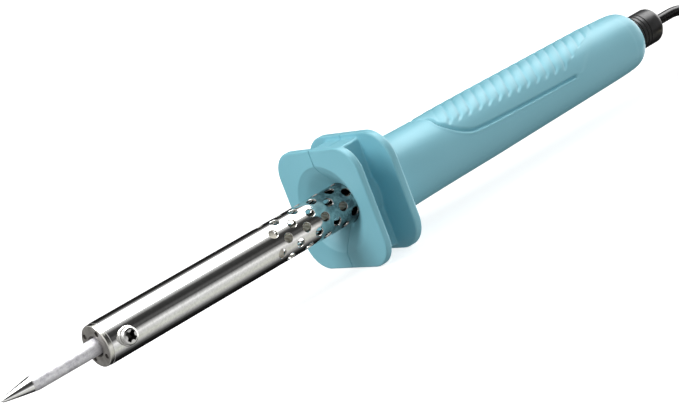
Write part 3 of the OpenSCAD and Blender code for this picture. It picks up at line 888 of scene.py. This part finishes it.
def handle_half(side):
    """side -1 faces -y, +1 faces +y. One closed mesh: rows follow the section's outline, columns go round the axis from seam to seam."""
    # angles: finer near the seam, at the web's corners and inside the pad
    pts = list(np.linspace(-90, 90, 145))
    pts += [-89.4, 89.4, -88.7, 88.7]
    pts += list(np.linspace(40, 72, 14)) + list(np.linspace(-72, -40, 14)) + list(np.linspace(0, 14, 18))
    A = np.array(sorted(set(round(p, 3) for p in pts)))
    rows = []  # each row: (x per angle, r per angle)

    def flat(x, r):
        rows.append((np.full_like(A, x), np.broadcast_to(r, A.shape).astype(float)))

    # funnel from the barrel hole out to the front face
    flat(129.2, 6.6)
    fun = [(129.0, 6.85), (128.7, 7.3), (128.2, 7.95), (127.5, 8.8), (126.8, 9.65), (126.1, 10.5), (125.4, 11.4), (124.9, 12.1), (124.5, 12.85), (124.2, 13.4), (123.98, 13.78), (123.82, 14.02), (123.73, 14.2), (123.7, 14.4)]
    for x, r in fun:
        flat(x, r)

    def flange(x0, x1, inner0, inner1, e, e1, near, far, top, bottom, corner):
        """outline of one flange: front face, rounded edge, rear face; inner0 and inner1 are where its faces start and stop"""
        half = near if side < 0 else far

        def edge_at(off):
            return rr_polar(A, 2 * (half - off), 2 * (np.where(A > 0, top, bottom) - off), corner - off)

        for t in (0.2, 0.45, 0.7, 0.9):
            o = edge_at(e)
            rows.append((np.full_like(A, x0), inner0 + (o - inner0) * t))
        for k in range(0, 7):
            b = math.radians(90 * k / 6)
            off = e * (1 - math.sin(b))
            rows.append((np.full_like(A, x0 + e * (1 - math.cos(b))), edge_at(off)))
        for k in range(6, -1, -1):
            b = math.radians(90 * k / 6)
            off = e1 * (1 - math.sin(b))
            rows.append((np.full_like(A, x1 - e1 * (1 - math.cos(b))), edge_at(off)))
        for t in (0.93, 0.75, 0.5, 0.25, 0.08):
            o = edge_at(e1)
            rows.append((np.full_like(A, x1), inner1 + (o - inner1) * t))

    # edge radii in front and behind, half width near and far, half height above and below, corner radius
    FRONT = (0.55, 0.7, 19.5, 19.1, 19.4, 19.25, 8.5)
    REAR = (0.5, 0.8, 19.8, 19.2, 19.1, 19.0, 9.8)
    web = rr_polar(A, 16.0, 35.1, 1.0)

    def neck(x):
        n = np.interp(x, [126.3, 129.6, 136.8], [12.0, 9.2, 9.2])
        k = 0.5
        return np.where(web - n > 0, np.maximum(web, n), n)

    fl = 0.7
    flange(123.7, 126.3, np.full_like(A, 14.4), neck(126.3) + fl, *FRONT)
    for k in range(0, 5):
        b = math.radians(90 * k / 4)
        rows.append((np.full_like(A, 126.3 + fl * (1 - math.cos(b))), neck(126.3 + fl * (1 - math.cos(b))) + fl * (1 - math.sin(b))))
    for x in (127.4, 128.0, 128.6, 129.2, 129.6, 130.2, 131.5, 133.0, 134.5, 135.8):
        rows.append((np.full_like(A, x), neck(x)))
    for k in range(4, -1, -1):
        b = math.radians(90 * k / 4)
        rows.append((np.full_like(A, 136.8 - fl * (1 - math.cos(b))), neck(136.8) + fl * (1 - math.sin(b))))
    flange(136.8, 139.6, neck(136.8) + fl, np.full_like(A, 15.6), *REAR)
    for x, r in ((139.6, 15.6), (139.62, 15.0), (139.7, 14.45), (139.85, 13.95), (140.1, 13.5), (140.5, 13.1)):
        flat(x, r)
    # grip
    xs = [141.2, 141.8, 142.6, 143.6, 144.8, 146.2, 147.8, 149.4, 151, 153, 155, 157, 159, 160.5]
    xs += list(np.arange(161.5, 252.5, 0.42)) + [254, 255.5, 257, 258]
    px, py = [p[0] for p in OUT], [p[1] for p in OUT]
    X = np.array(xs)
    R = pchip(px, py, X)
    XX, AA = np.meshgrid(X, A, indexing="ij")
    D = relief(XX, AA)
    for i, x in enumerate(X):
        rows.append((np.full_like(A, x), R[i] + D[i]))
    for x, r in spline([(a, b, 0) for a, b in END], 0.3)[1:, :2]:
        flat(x, r)
    # inside: grommet seat, hollow, collar groove, barrel hole
    for x, r in ((265.33, 6.2), (265.2, 5.9), (265.0, 5.6), (264.6, 5.6), (264.6, 7.5), (262.0, 7.5), (262.0, 5.6), (259.5, 5.6), (259.5, 7.0), (256, 8.2), (232, 8.85), (189, 9.45), (152, 9.75), (152, 7.4), (150.3, 7.4), (150.3, 6.62), (147.6, 6.62), (147.6, 9.1), (145.9, 9.1), (145.9, 6.62), (138, 6.62), (131, 6.62)):
        flat(x, r)
    nr, nc = len(rows), len(A)
    V = np.zeros((nr, nc, 3))
    for i, (x, r) in enumerate(rows):
        V[i, :, 0] = x
        V[i, :, 1] = side * r * np.cos(np.radians(A))
        V[i, :, 2] = r * np.sin(np.radians(A))
    # the seam: the last column lies just off the plane and is sunk into the surface, the one before it stays on the surface
    outer = (np.arange(nr) < nr - 22) & (np.arange(nr) > 0)
    for c in (0, -1):
        rad = np.hypot(V[:, c, 1], V[:, c, 2])
        xc = V[:, c, 0].copy()
        dx, dr = np.roll(xc, -1) - np.roll(xc, 1), np.roll(rad, -1) - np.roll(rad, 1)
        ln = np.maximum(np.hypot(dx, dr), 1e-6)
        deep = np.where(outer, 0.3, 0.0)
        V[:, c, 0] = xc + deep * dr / ln
        V[:, c, 1] = side * 0.03
        V[:, c, 2] = np.sign(V[:, c, 2]) * (rad - deep * dx / ln)
    verts = V.reshape(-1, 3)
    faces = []
    for i in range(nr):
        j = (i + 1) % nr
        for c in range(nc - 1):
            faces.append((i * nc + c, i * nc + c + 1, j * nc + c + 1, j * nc + c))
    faces.append(tuple(i * nc for i in range(nr)))
    faces.append(tuple(i * nc + nc - 1 for i in range(nr - 1, -1, -1)))
    return verts, faces


v, f = handle_half(-1)
right = build("handle_shell_near", v, f, MAT["handle"], "iron", ["handle_right"], 50)
v, f = handle_half(1)
left = build("handle_shell_far", v, f, MAT["handle"], "iron", ["handle_left"], 50)
BOSS = [(158, 6), (206, -6), (236, 6)]
tools = []
for bx, bz in BOSS:
    tools.append(lathe([(6.4, 0), (6.4, 2.5), (10.0, 2.5), (12.5, 2.95), (14, 2.95), (14, 0)], 48, "y", (bx, 0, bz)))
    tools.append(lathe([(5.0, 0), (5.0, 1.35), (6.8, 1.35), (6.8, 0)], 32, "y", (bx, 0, bz)))
cut(left, tools)
smooth(left.data, 50)

parts = []
for bx, bz in BOSS:
    parts.append(lathe([(-6.6, 0), (-6.6, 0.7), (-6.2, 0.95), (6.45, 0.95), (6.45, 2.1), (6.6, 2.28), (6.8, 2.3), (7.45, 2.3), (7.75, 2.15), (7.92, 1.7), (8.0, 1.0), (8.0, 0)], 48, "y", (bx, 0, bz)))
v, f = join(parts)
hs = build("handle_screw_set", v, f, MAT["screw_dark"], "iron", ["handle_screws"], 30)
tools = []
for bx, bz in BOSS:
    tools += recess(bx, 8.0, bz, 1.35, 0.6, 0.95, 20, 1)
cut(hs, tools)
smooth(hs.data, 30)

# ---------------------------------------------------------------- floor and light
fm = Nodes("studio_floor")
fn = fm.noise(8, 3, 0.5)
fm.set(Base_Color=fm.ramp(fn, [(0.3, (0.62, 0.62, 0.62)), (0.7, (0.64, 0.64, 0.64))]), Roughness=0.9, Specular_IOR_Level=0.1, Emission_Color=(1.0, 1.0, 1.0), Emission_Strength=0.72)
me = bpy.data.meshes.new("floor")
me.from_pydata([(-8, -8, -0.0001), (8, -8, -0.0001), (8, 8, -0.0001), (-8, 8, -0.0001)], [], [(0, 1, 2, 3)])
floor = bpy.data.objects.new("floor", me)
LINK(floor)
me.materials.append(fm.mat)
floor.visible_glossy = False
floor.visible_diffuse = False

world = bpy.data.worlds.new("studio")
SC.world = world
world.use_nodes = True
wt = world.node_tree
wt.nodes.clear()
wo = wt.nodes.new("ShaderNodeOutputWorld")
tc = wt.nodes.new("ShaderNodeTexCoord")
sx = wt.nodes.new("ShaderNodeSeparateXYZ")
wt.links.new(tc.outputs["Generated"], sx.inputs[0])


def wmath(op, a, b=None):
    n = wt.nodes.new("ShaderNodeMath")
    n.operation = op
    for i, q in enumerate((a, b)):
        if q is None:
            continue
        if isinstance(q, (int, float)):
            n.inputs[i].default_value = q
        else:
            wt.links.new(q, n.inputs[i])
    return n.outputs[0]


# softbox overhead, pale card low in front, dark studio elsewhere; the angle goes round the iron's axis from -y over +z
beta = wmath("ARCTAN2", sx.outputs["Z"], wmath("MULTIPLY", sx.outputs["Y"], -1.0))
frac = wmath("ADD", wmath("DIVIDE", beta, 2 * math.pi), 0.5)


def wramp(stops):
    n = wt.nodes.new("ShaderNodeValToRGB")
    e = n.color_ramp.elements
    while len(e) > 1:
        e.remove(e[-1])
    stops = [((b + 180) / 360, c) for b, c in stops]
    e[0].position, e[0].color = stops[0][0], col(stops[0][1])
    for p, c in stops[1:]:
        e.new(p).color = col(c)
    wt.links.new(frac, n.inputs["Fac"])
    return n.outputs["Color"]


GS = 10.0


def scaled(stops, k):
    return [(b, tuple(c * k for c in q) if isinstance(q, tuple) else q * k) for b, q in stops]


glossy = wramp(scaled([(-180, 0.006), (-128, 0.006), (-103, 0.014), (-85, 0.13), (-70, 0.46), (-57, (0.70, 0.71, 0.65)), (-45, (0.70, 0.71, 0.67)), (-33, 0.76), (-22, 1.05), (-11, 0.54), (-1, 0.085), (10, 0.105), (20, 0.036), (30, 0.04), (41, 0.07), (51.5, 0.5), (60, 1.0), (68, 10.0), (108, 10.0), (117, 1.3), (124, 0.5), (134, 0.08), (142, 0.02), (180, 0.006)], 1 / GS))
glossy_front = wramp(scaled([(-180, 0.45), (-90, 0.40), (0, 0.7), (60, 1.2), (120, 1.2), (160, 0.55), (180, 0.45)], 1 / GS))
diffuse = wramp([(-180, 0.40), (-100, 0.42), (-60, 0.52), (0, 0.64), (40, 0.66), (70, 0.42), (100, 0.38), (160, 0.40), (172, 0.40), (180, 0.40)])


def wrange(v, a, b, c, d):
    n = wt.nodes.new("ShaderNodeMapRange")
    n.interpolation_type = "SMOOTHSTEP"
    for i, q in enumerate((a, b, c, d)):
        n.inputs[i + 1].default_value = q
    wt.links.new(v, n.inputs[0])
    return n.outputs[0]


ahead_of = wrange(sx.outputs["X"], -0.30, 0.05, 1.0, 0.0)  # 1 in the half of the room that the point looks at
tip_side = wrange(sx.outputs["X"], -0.90, -0.40, 1.0, 0.0)
tail_side = wrange(sx.outputs["X"], 0.80, 0.92, 0.0, 1.0)
tail_soft = wrange(sx.outputs["X"], 0.70, 0.85, 0.0, 1.0)
along = wrange(sx.outputs["X"], -0.20, 0.25, 0.72, 1.15)
tip_level = wrange(sx.outputs["Z"], -0.5, 0.7, 0.04, 1.05)
lp = wt.nodes.new("ShaderNodeLightPath")


def background(c, s):
    n = wt.nodes.new("ShaderNodeBackground")
    if isinstance(c, (int, float)):
        n.inputs["Color"].default_value = col(c)
    else:
        wt.links.new(c, n.inputs["Color"])
    if isinstance(s, (int, float)):
        n.inputs["Strength"].default_value = s
    else:
        wt.links.new(s, n.inputs["Strength"])
    return n.outputs[0]


def wmix(fac, a, b):
    n = wt.nodes.new("ShaderNodeMixShader")
    wt.links.new(fac, n.inputs[0])
    wt.links.new(a, n.inputs[1])
    wt.links.new(b, n.inputs[2])
    return n.outputs[0]


shine = wmix(tail_side, wmix(ahead_of, background(glossy, GS), background(glossy_front, GS)), background(1.0, 5.0))
soft = wmix(tail_soft, wmix(tip_side, background(diffuse, along), background(1.0, tip_level)), background(1.0, 2.4))
w1 = wmix(lp.outputs["Is Glossy Ray"], soft, shine)
w2 = wmix(lp.outputs["Is Camera Ray"], w1, background(1.0, 1.0))
wt.links.new(w2, wo.inputs[0])


def area(name, loc, target, size, power, size_y=None, spec=1.0):
    d = bpy.data.lights.new(name, "AREA")
    d.shape = "RECTANGLE"
    d.size, d.size_y = size, size_y or size
    d.energy = power
    d.specular_factor = spec
    o = bpy.data.objects.new(name, d)
    LINK(o)
    o.location = loc
    o.rotation_mode = "QUATERNION"
    o.rotation_quaternion = (Vector(target) - Vector(loc)).to_track_quat("-Z", "Y")
    return o


area("key", (-0.72, 0.12, 0.64), (0, 0, 0.02), 0.45, 5.3, 0.45, 0.1)

SC.view_settings.view_transform = "Standard"
SC.view_settings.look = "None"
